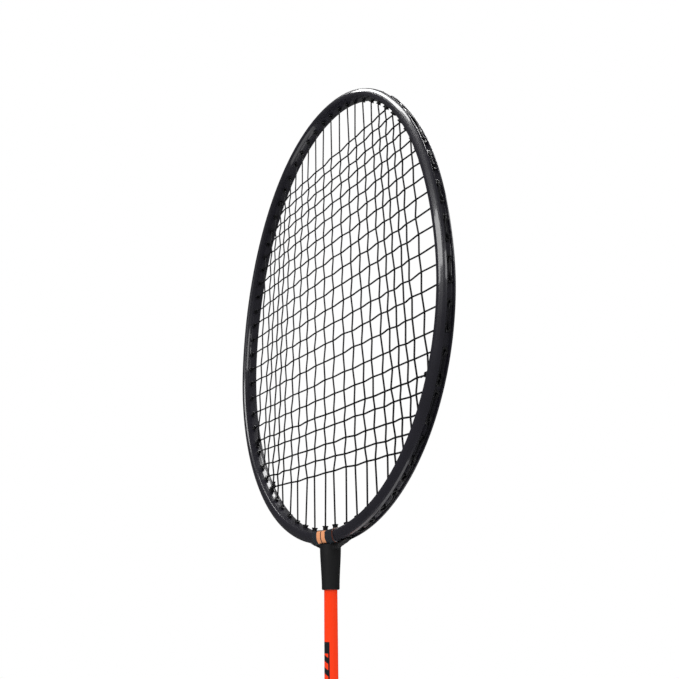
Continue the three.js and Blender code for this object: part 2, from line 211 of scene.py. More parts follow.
def new_object(name, points, faces):
    """Object in metres from points in millimetres, with its faces turned outwards."""
    mesh = bpy.data.meshes.new(name)
    mesh.from_pydata((np.asarray(points) * MM).tolist(), [], faces)
    made = bpy.data.objects.new(name, mesh)
    bpy.context.scene.collection.objects.link(made)
    skin = bmesh.new()
    skin.from_mesh(mesh)
    bmesh.ops.remove_doubles(skin, verts=skin.verts, dist=WELD_DISTANCE)
    bmesh.ops.recalc_face_normals(skin, faces=skin.faces)
    skin.to_mesh(mesh)
    skin.free()
    return made


def cut_away(target, points, faces):
    """Takes a closed skin away from an object."""
    cutter = new_object("cutter", points, faces)
    modifier = target.modifiers.new("cut", "BOOLEAN")
    modifier.operation = "DIFFERENCE"
    modifier.solver = "MANIFOLD"
    modifier.object = cutter
    evaluated = target.evaluated_get(bpy.context.evaluated_depsgraph_get())
    old = target.data
    target.data = bpy.data.meshes.new_from_object(evaluated)
    target.modifiers.clear()
    bpy.data.meshes.remove(old)
    bpy.data.objects.remove(cutter)


def shade(piece, sharp_angle):
    """Smooth shading, with the edges that bend more than an angle in degrees kept sharp."""
    skin = bmesh.new()
    skin.from_mesh(piece.data)
    limit = math.radians(sharp_angle)
    for face in skin.faces:
        face.smooth = True
    for edge in skin.edges:
        edge.smooth = len(edge.link_faces) == 2 and edge.calc_face_angle(0) < limit
    skin.to_mesh(piece.data)
    skin.free()


def place(piece, material, slot, node, sharp_angle):
    """Finishes a piece that replaces a CAD node."""
    shade(piece, sharp_angle)
    piece.data.materials.clear()
    piece.data.materials.append(material)
    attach(piece, "root")
    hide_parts(node)


# ---- The hoop's centre line ----
# The turn is 0 at the T-joint, a quarter at +X, half at the top and three quarters at -X.

def hoop_points(turns):
    """Points on the centre line."""
    power = 2 / HEAD_ROUNDNESS
    across = np.sin(turns)
    down = np.cos(turns)
    x = HOOP_HALF_WIDTH * np.sign(across) * np.abs(across) ** power
    reach = np.where(down > 0, HEAD_WIDEST - HOOP_BOTTOM, HOOP_TOP - HEAD_WIDEST)
    z = HEAD_WIDEST - reach * np.sign(down) * np.abs(down) ** power
    return np.stack([x, np.zeros_like(x), z], axis=-1)


def hoop_outs(turns):
    """Unit vectors that point out of the hoop."""
    x, _, z = np.moveaxis(hoop_points(turns), -1, 0)
    reach = np.where(z < HEAD_WIDEST, HEAD_WIDEST - HOOP_BOTTOM, HOOP_TOP - HEAD_WIDEST)
    x = x / HOOP_HALF_WIDTH
    z = (z - HEAD_WIDEST) / reach
    slope = HEAD_ROUNDNESS - 1
    out_x = np.sign(x) * np.abs(x) ** slope / HOOP_HALF_WIDTH
    out_z = np.sign(z) * np.abs(z) ** slope / reach
    return unit(np.stack([out_x, np.zeros_like(x), out_z], axis=-1))


def hoop_offset(turns, out, across=0.0):
    """Points that lie out of the centre line and across it, along +Y."""
    return hoop_points(turns) + hoop_outs(turns) * out + SQUARE_TO_STRINGS * across


def hoop_rings(outline, turns):
    """Rings of an outline whose x runs out of the hoop."""
    x, y = outline[None, :, 0, None], outline[None, :, 1, None]
    centres = hoop_points(turns)[:, None, :]
    return centres + x * hoop_outs(turns)[:, None, :] + y * SQUARE_TO_STRINGS


def turn_at(distance):
    """Turn reached by going a short distance from the T-joint along the centre line."""
    step = 0.001
    chord = np.linalg.norm(hoop_points(step) - hoop_points(-step))
    return distance * 2 * step / chord


def turn_where(axis, value, low, high):
    """Turn between two limits at which a string leaves its grommet at a place on an axis."""
    turns = np.linspace(low, high, 6001)
    reached = hoop_offset(turns, STRING_BEND)[:, axis]
    order = np.argsort(reached)
    return float(np.interp(value, reached[order], turns[order]))


X_AXIS, Z_AXIS = 0, 2
main_xs = np.array([-offset for offset in reversed(MAIN_OFFSETS)] + MAIN_OFFSETS)
cross_zs = HEAD_MIDDLE + np.array(CROSS_HEIGHTS)
right_bottoms = [turn_where(X_AXIS, offset, 0, QUARTER_TURN) for offset in MAIN_OFFSETS]
right_tops = [turn_where(X_AXIS, offset, QUARTER_TURN, HALF_TURN) for offset in MAIN_OFFSETS]
cross_rights = [turn_where(Z_AXIS, height, 0.01, HALF_TURN - 0.01) for height in cross_zs]
cross_lefts = [FULL_TURN - turn for turn in cross_rights]
main_bottoms = [FULL_TURN - turn for turn in reversed(right_bottoms)] + right_bottoms
main_tops = [FULL_TURN - turn for turn in reversed(right_tops)] + right_tops
right_turns = sorted(right_bottoms + right_tops + cross_rights)
left_turns = [FULL_TURN - turn for turn in right_turns]
first_right = right_turns[0]  # the holes nearest to the T-joint are inside its collar


# ---- Materials ----
# Object coordinates are the model's own, in metres: noise at a scale of 1000 has 1 mm waves.

class Finish:
    """A node material while it is put together. Inputs are socket names in small letters."""

    def __init__(self, name, **inputs):
        self.material = bpy.data.materials.new(name)
        self.material.use_nodes = True
        self.tree = self.material.node_tree
        self.shader = self.tree.nodes["Principled BSDF"]
        self.place = self.add("TexCoord").outputs["Object"]
        self.x, self.y, self.z = self.add("SeparateXYZ", vector=self.place).outputs
        self.fill(self.shader, inputs)

    def fill(self, node, inputs):
        for word, value in inputs.items():
            socket = node.inputs[word.replace("_", " ").title().replace("Ior", "IOR")]
            self.connect(socket, value)

    def connect(self, socket, value):
        if isinstance(value, bpy.types.NodeSocket):
            self.tree.links.new(value, socket)
        else:
            socket.default_value = value

    def add(self, kind, **inputs):
        node = self.tree.nodes.new("ShaderNode" + kind)
        self.fill(node, inputs)
        return node

    def set(self, **inputs):
        """Gives values or links to the surface's own inputs."""
        self.fill(self.shader, inputs)

    def math(self, operation, first, second=0.0, third=0.0):
        node = self.add("Math")
        node.operation = operation
        for socket, value in zip(node.inputs, (first, second, third)):
            self.connect(socket, value)
        return node.outputs[0]

    def noise(self, scale, detail=2.0, stretch=(1, 1, 1)):
        place = self.add("VectorMath")
        place.operation = "MULTIPLY"
        self.connect(place.inputs[0], self.place)
        place.inputs[1].default_value = stretch
        return self.add("TexNoise", vector=place.outputs[0], scale=scale, detail=detail).outputs[0]

    def spread(self, value, low, high, to_low=0.0, to_high=1.0):
        """Value from low..high laid over to_low..to_high, and held at the ends."""
        limits = {"from_min": low, "from_max": high, "to_min": to_low, "to_max": to_high}
        return self.add("MapRange", value=value, **limits).outputs[0]

    def roughen(self, noise, low, high):
        """Roughness that follows noise, which mostly lies between 0.3 and 0.7."""
        self.set(roughness=self.spread(noise, 0.3, 0.7, low, high))

    def grain(self, colour, noise, low, high, depth):
        """A colour, with roughness and bumps that follow one noise."""
        self.set(base_color=colour, normal=self.bump(noise, depth))
        self.roughen(noise, low, high)

    def mix(self, share, first, second):
        """The first colour where the share is 0 and the second where it is 1."""
        node = self.add("Mix")
        node.data_type = "RGBA"
        for index, value in ((0, share), (6, first), (7, second)):
            self.connect(node.inputs[index], value)
        return node.outputs[2]

    def bump(self, height, depth):
        """Bump on which a height of 1 stands a depth in millimetres proud."""
        return self.add("Bump", height=height, strength=1.0, distance=depth * MM).outputs[0]

    def both(self, first, second):
        return self.math("MULTIPLY", first, second)

    def without(self, first, second):
        """What the first covers and the second doesn't."""
        return self.both(first, self.math("SUBTRACT", 1.0, second))

    def between(self, value, low, high, edge):
        """1 where the value lies between two limits, fading over an edge's width."""
        above = self.spread(value, low - edge, low + edge)
        below = self.spread(value, high - edge, high + edge, 1.0, 0.0)
        return self.both(above, below)


ORANGE = (0.86, 0.034, 0.001, 1)
LIGHT_ORANGE = (0.90, 0.043, 0.002, 1)


def frame_paint():
    """Black paint under a thin clear coat, with a faint orange peel."""
    paint = Finish("satin_black_paint", coat_weight=0.8, coat_roughness=0.06, coat_ior=1.5)
    colour = paint.mix(paint.noise(90, 3), (0.009, 0.0085, 0.013, 1), (0.014, 0.013, 0.020, 1))
    paint.grain(colour, paint.noise(1400, 2), 0.26, 0.34, 0.006)
    return paint.material


def string_nylon():
    """Filament with a fine twist along its length."""
    nylon = Finish("dark_nylon_string", specular_ior_level=0.35)
    fibre = nylon.noise(4000, 1, (1, 1, 0.4))
    colour = nylon.mix(fibre, (0.002, 0.002, 0.003, 1), (0.005, 0.005, 0.008, 1))
    nylon.grain(colour, fibre, 0.32, 0.5, 0.02)
    return nylon.material


def grommet_nylon():
    """Shiny moulded nylon."""
    nylon = Finish("black_grommet_nylon", coat_weight=0.5, coat_roughness=0.15)
    grain = nylon.noise(2500, 2)
    colour = nylon.mix(grain, (0.004, 0.004, 0.005, 1), (0.009, 0.009, 0.011, 1))
    nylon.grain(colour, grain, 0.34, 0.46, 0.01)
    return nylon.material


# The collar's mark, the slit that splits it and the line at the collar's right end, in metres.
MARK_LEFT, MARK_RIGHT = -0.0048, 0.0026
MARK_BOTTOM, MARK_TOP = 0.3902, 0.3970
MARK_BACK, MARK_FRONT = -0.0034, -0.0036
SLIT_MIDDLE, SLIT_HALF_WIDTH = -0.0011, 0.0004
LINE_LEFT, LINE_RIGHT = 0.0086, 0.0094
PAINT_EDGE = 0.00015
FINE_EDGE = 0.0001


def band_paint():
    """Blue-black gloss with a plain copper bar on the front face and a thin line by one end."""
    paint = Finish("blue_black_gloss", coat_weight=0.9, coat_roughness=0.06)
    cloud = paint.noise(140, 3)
    ground = paint.mix(cloud, (0.008, 0.012, 0.017, 1), (0.014, 0.021, 0.029, 1))
    bar = paint.both(paint.between(paint.x, MARK_LEFT, MARK_RIGHT, PAINT_EDGE),
                     paint.between(paint.z, MARK_BOTTOM, MARK_TOP, PAINT_EDGE))
    from_slit = paint.math("SUBTRACT", paint.x, SLIT_MIDDLE)
    slit = paint.between(from_slit, -SLIT_HALF_WIDTH, SLIT_HALF_WIDTH, FINE_EDGE)
    front = paint.spread(paint.y, MARK_FRONT, MARK_BACK, 1.0, 0.0)
    shown = paint.both(bar, paint.without(front, slit))
    line = paint.between(paint.x, LINE_LEFT, LINE_RIGHT, FINE_EDGE)
    lined = paint.mix(line, ground, (0.06, 0.014, 0.006, 1))
    paint.set(base_color=paint.mix(shown, lined, (0.74, 0.31, 0.14, 1)))
    paint.roughen(cloud, 0.2, 0.28)
    paint.set(normal=paint.bump(paint.noise(1100, 2), 0.004))
    return paint.material


def moulded_plastic(name, dark, light, low_roughness=0.5, high_roughness=0.62):
    """Matt moulding with a fine spark-eroded grain."""
    plastic = Finish(name)
    cloud = plastic.noise(160, 3, (1, 1, 0.25))
    grain = plastic.noise(2600, 3)
    plastic.grain(plastic.mix(cloud, dark, light), grain, low_roughness, high_roughness, 0.02)
    return plastic.material


# The shaft's panel, in metres and radians. A bar is the middle half of its pitch.
PANEL_TOP, PANEL_BOTTOM = 0.3452, 0.2760
PANEL_HALF_ANGLE = 0.73
BARS_TOP, BARS_BOTTOM = PANEL_TOP - 0.005, PANEL_BOTTOM + 0.003
BARS_HALF_ANGLE = 0.5
BAR_PITCH = 0.0052
BAR_SLANT = 0.0016
PRINT_EDGE = 0.00008
PRINT_EDGE_ANGLE = 0.02


def shaft_lacquer():
    """Orange lacquer with a black panel on the front, crossed by slanted orange bars."""
    lacquer = Finish("orange_lacquer", coat_weight=0.25, coat_roughness=0.1, specular_ior_level=0.3)
    cloud = lacquer.noise(60, 3, (1, 1, 0.3))
    ground = lacquer.mix(cloud, ORANGE, LIGHT_ORANGE)
    front = lacquer.math("MULTIPLY", lacquer.y, -1.0)
    angle = lacquer.math("ARCTAN2", lacquer.x, front)
    panel = lacquer.both(lacquer.between(angle, -PANEL_HALF_ANGLE, PANEL_HALF_ANGLE, PRINT_EDGE_ANGLE),
                         lacquer.between(lacquer.z, PANEL_BOTTOM, PANEL_TOP, PRINT_EDGE))
    slanted = lacquer.math("MULTIPLY_ADD", angle, BAR_SLANT, lacquer.z)
    wave = lacquer.math("FRACT", lacquer.math("DIVIDE", slanted, BAR_PITCH))
    bars = lacquer.both(lacquer.between(wave, 0.25, 0.75, 0.02),
                        lacquer.between(angle, -BARS_HALF_ANGLE, BARS_HALF_ANGLE, PRINT_EDGE_ANGLE))
    bars = lacquer.both(bars, lacquer.between(lacquer.z, BARS_BOTTOM, BARS_TOP, PRINT_EDGE))
    black = lacquer.without(panel, bars)
    lacquer.set(base_color=lacquer.mix(black, ground, (0.010, 0.012, 0.015, 1)))
    lacquer.roughen(cloud, 0.22, 0.3)
    lacquer.set(normal=lacquer.bump(lacquer.noise(900, 2), 0.003))
    return lacquer.material


def grip_leather():
    """Soft matt tape: fine pores, a dusty sheen and darker perforations."""
    tape = Finish("soft_grip_tape", sheen_weight=0.1, sheen_roughness=0.5)
    cloud = tape.noise(45, 4)
    pores = tape.noise(1900, 4)
    worn = tape.mix(cloud, (0.006, 0.006, 0.0065, 1), (0.013, 0.013, 0.014, 1))
    pierced = tape.add("Attribute")
    pierced.attribute_name = "pierced"
    colour = tape.mix(pierced.outputs["Fac"], worn, (0.002, 0.002, 0.002, 1))
    tape.grain(colour, pores, 0.7, 0.88, 0.05)
    return tape.material


def vinyl_tape():
    """Smooth black tape, creased round the handle."""
    vinyl = Finish("smooth_vinyl_tape", coat_weight=0.2, coat_roughness=0.2)
    crease = vinyl.noise(220, 4, (1, 1, 5))
    colour = vinyl.mix(crease, (0.012, 0.012, 0.014, 1), (0.022, 0.022, 0.024, 1))
    vinyl.grain(colour, crease, 0.3, 0.42, 0.03)
    return vinyl.material


BADGE_RING_INSIDE, BADGE_RING_OUTSIDE = 0.0048, 0.0056  # radii in metres


def badge_resin():
    """Orange disc under clear resin, with a black ring."""
    resin = Finish("orange_badge_resin", coat_weight=1.0, coat_roughness=0.03)
    flat_x = resin.math("MULTIPLY", resin.x, resin.x)
    flat_y = resin.math("MULTIPLY", resin.y, resin.y)
    radius = resin.math("SQRT", resin.math("ADD", flat_x, flat_y))
    ring = resin.between(radius, BADGE_RING_INSIDE, BADGE_RING_OUTSIDE, 0.00006)
    cloud = resin.noise(300, 3)
    ground = resin.mix(cloud, ORANGE, LIGHT_ORANGE)
    resin.set(base_color=resin.mix(ring, ground, (0.008, 0.008, 0.01, 1)))
    resin.roughen(cloud, 0.2, 0.28)
    return resin.material


def bare_metal(name, colour, brushed=(1, 1, 1)):
    """Unpainted metal whose grain can be stretched along an axis."""
    metal = Finish(name, metallic=1.0)
    grain = metal.noise(900, 4, brushed)
    darker = tuple(0.8 * part for part in colour)
    metal.grain(metal.mix(grain, darker + (1,), colour + (1,)), grain, 0.32, 0.5, 0.02)
    return metal.material


def bare_wood():
    """Straight-grained beech, its grain along the handle."""
    wood = Finish("bare_beech")
    grain = wood.noise(700, 4, (1, 1, 0.04))
    fleck = wood.noise(1500, 2, (1, 0.3, 0.15))
    tone = wood.math("MULTIPLY_ADD", fleck, 0.3, wood.math("MULTIPLY", grain, 0.7))
    wood.grain(wood.mix(tone, (0.40, 0.23, 0.11, 1), (0.66, 0.45, 0.25, 1)), grain, 0.55, 0.75, 0.05)
    return wood.material


# ---- Head ----

HOOP_STEPS = 760
HOLLOW_STEPS = 380
BARREL_RADIUS = 1.3
BORE_RADIUS = 0.95
LIP_RADIUS = 1.7
FLANGE_RADIUS = 2.0
FLANGE_LIFT = 0.04  # keeps a flange clear of the groove's floor
GROMMET_SIDES = 20
DRILL_CLEARANCE = 0.08
COLLAR_EXTRA = 1.2  # how much longer the barrels in the collar are


def tube_corners(proud=0.0):
    """Corners on the +y side of the tube's outline, as (x, y, radius); x points out of the hoop."""
    side = TUBE_DEPTH / 2 + proud
    out = TUBE_HALF + proud
    return [
        (-out, side - 4.0, 1.5),
        (-out + 0.3, side - 2.4, 1.5),
        (-out + 0.8, side - 0.6, 0.6),
        (-out + 1.7, side, 0.6),
        (out - 3.3, side, 0.5),
        (out - 2.3, side - 0.3, 0.5),
        (out - 1.2, side - 0.85, 0.4),
        (out - 0.4, side - 1.5, 0.4),
        (out, side - 2.4, 0.15),
    ]


def hollow_corners():
    """Corners on the +y side of the space inside the tube."""
    side = TUBE_DEPTH / 2 - TUBE_WALL
    return [
        (-TUBE_HALF + TUBE_WALL, side - 1.9, 0.2),
        (-TUBE_HALF + TUBE_WALL + 0.7, side - 0.5, 0.2),
        (-0.2, side, 0.2),
        (GROOVE_FLOOR - TUBE_WALL, side - 1.4, 0.2),
    ]


def rod(origin, axis, radius, low, high, sides=20):
    """Plain round bar along an axis, between two distances from its origin."""
    circle = circle_about(axis, unit(np.cross(axis, ROD_ASKEW)), sides)
    centres = [np.asarray(origin) + np.asarray(axis) * reach for reach in (low, high)]
    return loft([centre + radius * circle for centre in centres])


def hoop_rods(turns, radius, low, high):
    """Rods that cross the tube, each along its own hole."""
    placed = zip(hoop_points(turns), hoop_outs(turns))
    return gathered([rod(origin, out, radius, low, high) for origin, out in placed])


def make_hoop():
    """Bent tube, hollow from end to end and drilled for every grommet."""
    groove = [(TUBE_HALF, GROOVE_WIDTH / 2, 0.2), (GROOVE_FLOOR, GROOVE_WIDTH / 2 - 0.25, 0.4)]
    outline = rounded(mirrored(tube_corners() + groove))
    end = turn_at(TUBE_END)
    turns = np.linspace(end, FULL_TURN - end, HOOP_STEPS)
    hoop = new_object("hoop_tube", *loft(hoop_rings(outline, turns)))
    past_end = turn_at(TUBE_END - 1)
    hollow_turns = np.linspace(past_end, FULL_TURN - past_end, HOLLOW_STEPS)
    cut_away(hoop, *loft(hoop_rings(rounded(mirrored(hollow_corners())), hollow_turns)))
    drill_radius = BARREL_RADIUS + DRILL_CLEARANCE
    cut_away(hoop, *hoop_rods(right_turns + left_turns, drill_radius, -TUBE_WIDTH, TUBE_WIDTH))
    place(hoop, frame_paint(), "frame_paint", "head_frame", 35)


def grommet_profile(mouth):
    """Closed (radius, height) outline; the flange is at the top and the lip at the mouth."""
    flange_bottom = GROOVE_FLOOR + FLANGE_LIFT
    return rounded([
        (FLANGE_RADIUS, flange_bottom, 0.05),
        (FLANGE_RADIUS, FLANGE_TOP, 0.2),
        (BORE_RADIUS, FLANGE_TOP, 0.25),
        (BORE_RADIUS, mouth, 0.15),
        (LIP_RADIUS, mouth, 0.1),
        (LIP_RADIUS - 0.1, mouth + 0.3, 0.1),
        (BARREL_RADIUS, mouth + 0.8, 0.3),
        (BARREL_RADIUS, flange_bottom, 0.05),
    ], 3)


def grommet(turn):
    """Round barrel in one hole, longer where the hole is inside the collar."""
    in_collar = turn in (first_right, FULL_TURN - first_right)
    profile = grommet_profile(GROMMET_MOUTH - (COLLAR_EXTRA if in_collar else 0))
    return lathed(profile, GROMMET_SIDES, hoop_points(turn), hoop_outs(turn))


def make_grommets():
    """One piece for each strip of grommets."""
    nylon = grommet_nylon()
    for side, turns in (("right", right_turns), ("left", left_turns)):
        first = 0
        for number, size in enumerate(STRIP_SIZES, 1):
            barrels = [grommet(turn) for turn in turns[first:first + size]]
            piece = new_object(f"grommets_{side}_{number}", *gathered(barrels))
            place(piece, nylon, "grommet", f"grommet_strip_{side}_{number}", 50)
            first += size


# ---- Strings ----

WEAVE = 0.48  # a string's centre passes this far behind or in front at each crossing
DRIFT, DRIFT_LIMIT = 0.22, 0.45  # how far the crossings stray from even rows
CROSSING_MARGIN = 1.2  # between a string's last crossing and its grommet
GROOVE_LANE = 0.75  # loops in the groove run this far to one side
LOOP_STEP = 1.6  # spacing of a loop's points
LOOP_LEAD = 2.2  # length over which a loop moves over to its lane
SHARED_BORE_SIDE = 0.475  # strings that share a grommet lie this far to each side
KNOT_RADIUS = 0.95
KNOT_PITCH = 0.95
KNOT_TURNS = 2.4
KNOT_STEPS = 22
KNOT_START = 0.6  # between a grommet's mouth and the coil
CUT_END_ALONG, CUT_END_OUT = 1.6, 0.9  # where the cut end points, from the end of the coil

# How far before a corner a string begins to bend.
HOLE_BEND, KNOT_BEND, LOOP_BEND, WEAVE_BEND = 0.8, 0.3, 1.0, 1.5


def string_crossings():
    """Places of the crossings, as (main, cross, xyz) for the mains."""
    chance = np.random.default_rng(SEED)
    strays = chance.normal(0, DRIFT, (2, len(main_xs), len(cross_zs)))
    drift = np.clip(strays, -DRIFT_LIMIT, DRIFT_LIMIT)
    x = main_xs[:, None] + drift[0]
    z = cross_zs[None, :] + drift[1]
    count = np.add.outer(np.arange(len(main_xs)), np.arange(len(cross_zs)))
    y = np.where(count % 2, WEAVE, -WEAVE)
    return np.stack([x, y, z], axis=-1)


def crossings_inside():
    """Which mains and crosses meet inside the hoop."""
    low = hoop_offset(main_bottoms, STRING_BEND)[:, Z_AXIS] + CROSSING_MARGIN
    high = hoop_offset(main_tops, STRING_BEND)[:, Z_AXIS] - CROSSING_MARGIN
    reach = hoop_offset(cross_rights, STRING_BEND)[:, X_AXIS] - CROSSING_MARGIN
    upright = (cross_zs[None, :] > low[:, None]) & (cross_zs[None, :] < high[:, None])
    return upright & (np.abs(main_xs)[:, None] < reach[None, :])


def groove_loop(start, end, lane):
    """Points between two grommets, along the groove and to one side of it."""
    length = np.linalg.norm(hoop_points(end) - hoop_points(start))
    shares = np.linspace(0, 1, max(5, round(length / LOOP_STEP)) + 1)[1:-1]
    from_ends = np.minimum(shares, 1 - shares) * length
    sideways = lane * smooth_step(from_ends / LOOP_LEAD)
    points = hoop_offset(start + (end - start) * shares, GROOVE_STRING)
    return points + sideways[:, None] * SQUARE_TO_STRINGS


def knot(turn, neighbour, side):
    """Cut end and coil of a tail that is tied round the string in the same grommet."""
    mouth = hoop_offset(turn, STRING_BEND, -side)
    along = unit(neighbour - mouth)
    across = unit(np.cross(along, SQUARE_TO_STRINGS))
    facing = SQUARE_TO_STRINGS * math.copysign(1, side)
    angles = np.linspace(KNOT_TURNS, 0, KNOT_STEPS)[:, None] * FULL_TURN
    arms = np.cos(angles) * facing + np.sin(angles) * across
    coil = mouth + along * (KNOT_START + KNOT_PITCH * angles / FULL_TURN) + KNOT_RADIUS * arms
    cut_end = coil[0] + along * CUT_END_ALONG + arms[0] * CUT_END_OUT
    return [cut_end, *coil]


def threaded(runs, tails, lane, shared):
    """One string through pairs of holes in turn, with a knot at each end.

    A run is (first hole, last hole, crossings between them), and a tail is (hole, crossing
    that its knot is next to). Shared holes hold two strings.
    """
    points, cuts = [], []
    side = math.copysign(SHARED_BORE_SIDE, lane)

    def lay(new_points, cut):
        points.extend(new_points)
        cuts.extend([cut] * len(new_points))

    (before, first_neighbour), (last_hole, last_neighbour) = tails
    lay(knot(before, first_neighbour, side), KNOT_BEND)
    lay([hoop_offset(before, GROOVE_STRING, side)], HOLE_BEND)
    for start, end, crossings in runs:
        start_side = -side if start in shared else 0.0
        lay(groove_loop(before, start, lane), LOOP_BEND)
        lay([hoop_offset(start, place, start_side) for place in (GROOVE_STRING, STRING_BEND)], HOLE_BEND)
        lay(crossings, WEAVE_BEND)
        lay([hoop_offset(end, place) for place in (STRING_BEND, GROOVE_STRING)], HOLE_BEND)
        before = end
    lay(groove_loop(before, last_hole, lane), LOOP_BEND)
    lay([hoop_offset(last_hole, GROOVE_STRING, side)], HOLE_BEND)
    lay(knot(last_hole, last_neighbour, side)[::-1], KNOT_BEND)
    return softened(points, cuts)


def zigzag(starts, ends, rows):
    """Runs to and fro through rows of crossings that go from start to end."""
    return [
        (end, start, row[::-1]) if number % 2 else (start, end, row)
        for number, (start, end, row) in enumerate(zip(starts, ends, rows))
    ]


def nearest_hole(holes, turn):
    """Number of the hole that is closest to a turn."""
    return int(np.argmin(np.abs(np.array(holes) - turn)))


def make_strings():
    """The mains and the crosses, woven over and under each other."""
    nylon = string_nylon()
    crossings = string_crossings()
    behind = crossings * [1, -1, 1]
    inside = crossings_inside()
    upward = [crossings[i][inside[i]][::-1] for i in range(len(main_xs))]
    rightward = [behind[:, j][inside[:, j]] for j in range(len(cross_zs))]

    tied = nearest_hole(cross_rights, main_bottoms[-1])
    top = nearest_hole(main_tops, cross_lefts[0])
    bottom = nearest_hole(main_bottoms, cross_lefts[-1])
    main_tails = [(cross_lefts[tied], rightward[tied][0]), (cross_rights[tied], rightward[tied][-1])]
    cross_tails = [(main_tops[top], upward[top][-1]), (main_bottoms[bottom], upward[bottom][0])]
    shared = {hole for hole, _ in main_tails + cross_tails}

    main_runs = zigzag(main_bottoms, main_tops, upward)
    cross_runs = zigzag(cross_lefts, cross_rights, rightward)
    for name, runs, tails, lane, node in (
        ("woven_mains", main_runs, main_tails, GROOVE_LANE, "main_string"),
        ("woven_crosses", cross_runs, cross_tails, -GROOVE_LANE, "cross_string"),
    ):
        line = threaded(runs, tails, lane, shared)
        string = new_object(name, *tube(line, STRING_RADIUS))
        place(string, nylon, "string", node, 70)


# ---- T-joint ----

COLLAR_TAPER = 1.6  # length over which each end of the collar thins out
COLLAR_EDGE = 0.12
COLLAR_STEPS = 25
COLLAR_FIT = 0.04  # between the collar and the tube
LOOP_ROOM_HALF_WIDTH = 1.5  # of the channel for the strings in the groove
LOOP_CLEARANCE = 0.02
COLLAR_DRILL_CLEARANCE = 0.1
CONE_COLUMNS = 120
CONE_TOP = HOOP_BOTTOM - TUBE_HALF - BAND_PROUD
CONE_LENGTH = 21.3
CONE_TOP_RADIUS = 5.45
CONE_END_RADIUS = 4.5
CONE_RIM = 0.6
WEB_ROOT = CONE_TOP_RADIUS - 2
WEB_REACH = 16.5
WEB_HALF_THICKNESS = 2.0
WEB_DROP = 4.4
WEB_CURVE = 2.8  # more makes the web's lower edge hollower
WEB_BLEND = 0.7
cone_angles = np.linspace(0, FULL_TURN, CONE_COLUMNS, endpoint=False)


def collar_rings():
    """Rings of the collar's outside, which thins out at both ends."""
    arc = np.linspace(0, QUARTER_TURN, 7)
    end_steps = BAND_HALF_LENGTH - COLLAR_TAPER + COLLAR_TAPER * np.sin(arc)
    end_prouds = COLLAR_EDGE + (BAND_PROUD - COLLAR_EDGE) * np.cos(arc)
    middle_steps = np.linspace(-1, 1, COLLAR_STEPS) * (BAND_HALF_LENGTH - COLLAR_TAPER - 0.3)
    steps = np.concatenate([-end_steps[::-1], middle_steps, end_steps])
    prouds = np.concatenate([end_prouds[::-1], np.full(COLLAR_STEPS, BAND_PROUD), end_prouds])
    return [
        hoop_rings(rounded(mirrored(tube_corners(proud)), 6), [turn_at(step)])[0]
        for step, proud in zip(steps, prouds)
    ]


def make_collar():
    """Collar round the bottom of the hoop, with rounded ends and room for two grommets."""
    collar = new_object("joint_collar", *loft(collar_rings()))
    past_end = turn_at(BAND_HALF_LENGTH + 1)
    turns = np.linspace(-past_end, past_end, 30)
    cut_away(collar, *loft(hoop_rings(rounded(mirrored(tube_corners(COLLAR_FIT)), 6), turns)))
    loop_top = GROOVE_STRING + STRING_RADIUS + LOOP_CLEARANCE
    loop_room = [(out, LOOP_ROOM_HALF_WIDTH, 0.2) for out in (TUBE_HALF - 1, loop_top)]
    cut_away(collar, *loft(hoop_rings(rounded(mirrored(loop_room)), turns)))
    holes = [first_right, -first_right]
    cut_away(collar, *hoop_rods(holes, BARREL_RADIUS + COLLAR_DRILL_CLEARANCE, -2 * TUBE_WIDTH, 0))
    place(collar, band_paint(), "band_paint", "t_joint_band", 35)


def cone_ring(radii, drop):
    """Ring at a drop from the ferrule's top, bent near the top to follow the hoop."""
    x = radii * np.cos(cone_angles)
    rise = x ** 2 * (HEAD_WIDEST - HOOP_BOTTOM) / (2 * HOOP_HALF_WIDTH ** 2)
    lift = rise * max(0, 1 - drop / (2 * WEB_DROP))
    return np.stack([x, radii * np.sin(cone_angles), CONE_TOP - drop + lift], axis=-1)


def web_radii(drop):
    """Radii of the flat web, which narrows further down."""
    cosine = np.maximum(np.abs(np.cos(cone_angles)), NEARLY_ZERO)
    sine = np.maximum(np.abs(np.sin(cone_angles)), NEARLY_ZERO)
    reach = WEB_ROOT + (WEB_REACH - WEB_ROOT) * max(0, 1 - drop / WEB_DROP) ** WEB_CURVE
    return np.minimum(reach / cosine, WEB_HALF_THICKNESS / sine)


def cone_and_web_radii(drop):
    """Radii of the round body and the web, blended where they meet."""
    body = CONE_TOP_RADIUS - (CONE_TOP_RADIUS - CONE_END_RADIUS) * smooth_step(drop / CONE_LENGTH)
    web = web_radii(drop)
    blended = np.logaddexp(body / WEB_BLEND, web / WEB_BLEND) * WEB_BLEND
    excess = WEB_BLEND * math.log(2) * np.exp(-np.abs(web - body))
    return np.maximum(body, blended - excess)


def make_cone():
    """Ferrule that swells into a web under each side of the hoop."""
    rim_top = CONE_LENGTH - CONE_RIM
    web_drops = np.linspace(0, WEB_DROP, 30)
    body_drops = np.linspace(WEB_DROP, rim_top, 30)[1:]
    rings = [cone_ring(cone_and_web_radii(drop), drop) for drop in [*web_drops, *body_drops]]
    for bend in np.linspace(0, QUARTER_TURN, 6)[1:]:
        radius = CONE_END_RADIUS - CONE_RIM + CONE_RIM * math.cos(bend)
        rings.append(cone_ring(np.full(CONE_COLUMNS, radius), rim_top + CONE_RIM * math.sin(bend)))
    bore = np.full(CONE_COLUMNS, SHAFT_RADIUS + SHAFT_CLEARANCE)
    rings += [cone_ring(bore, CONE_LENGTH), cone_ring(bore, 0.0)]
    cone = new_object("joint_cone", *loft(rings, joined=True))
    plastic = moulded_plastic("matt_cone_plastic", (0.004, 0.004, 0.005, 1), (0.008, 0.008, 0.009, 1))
    place(cone, plastic, "cone_plastic", "t_joint_cone", 45)


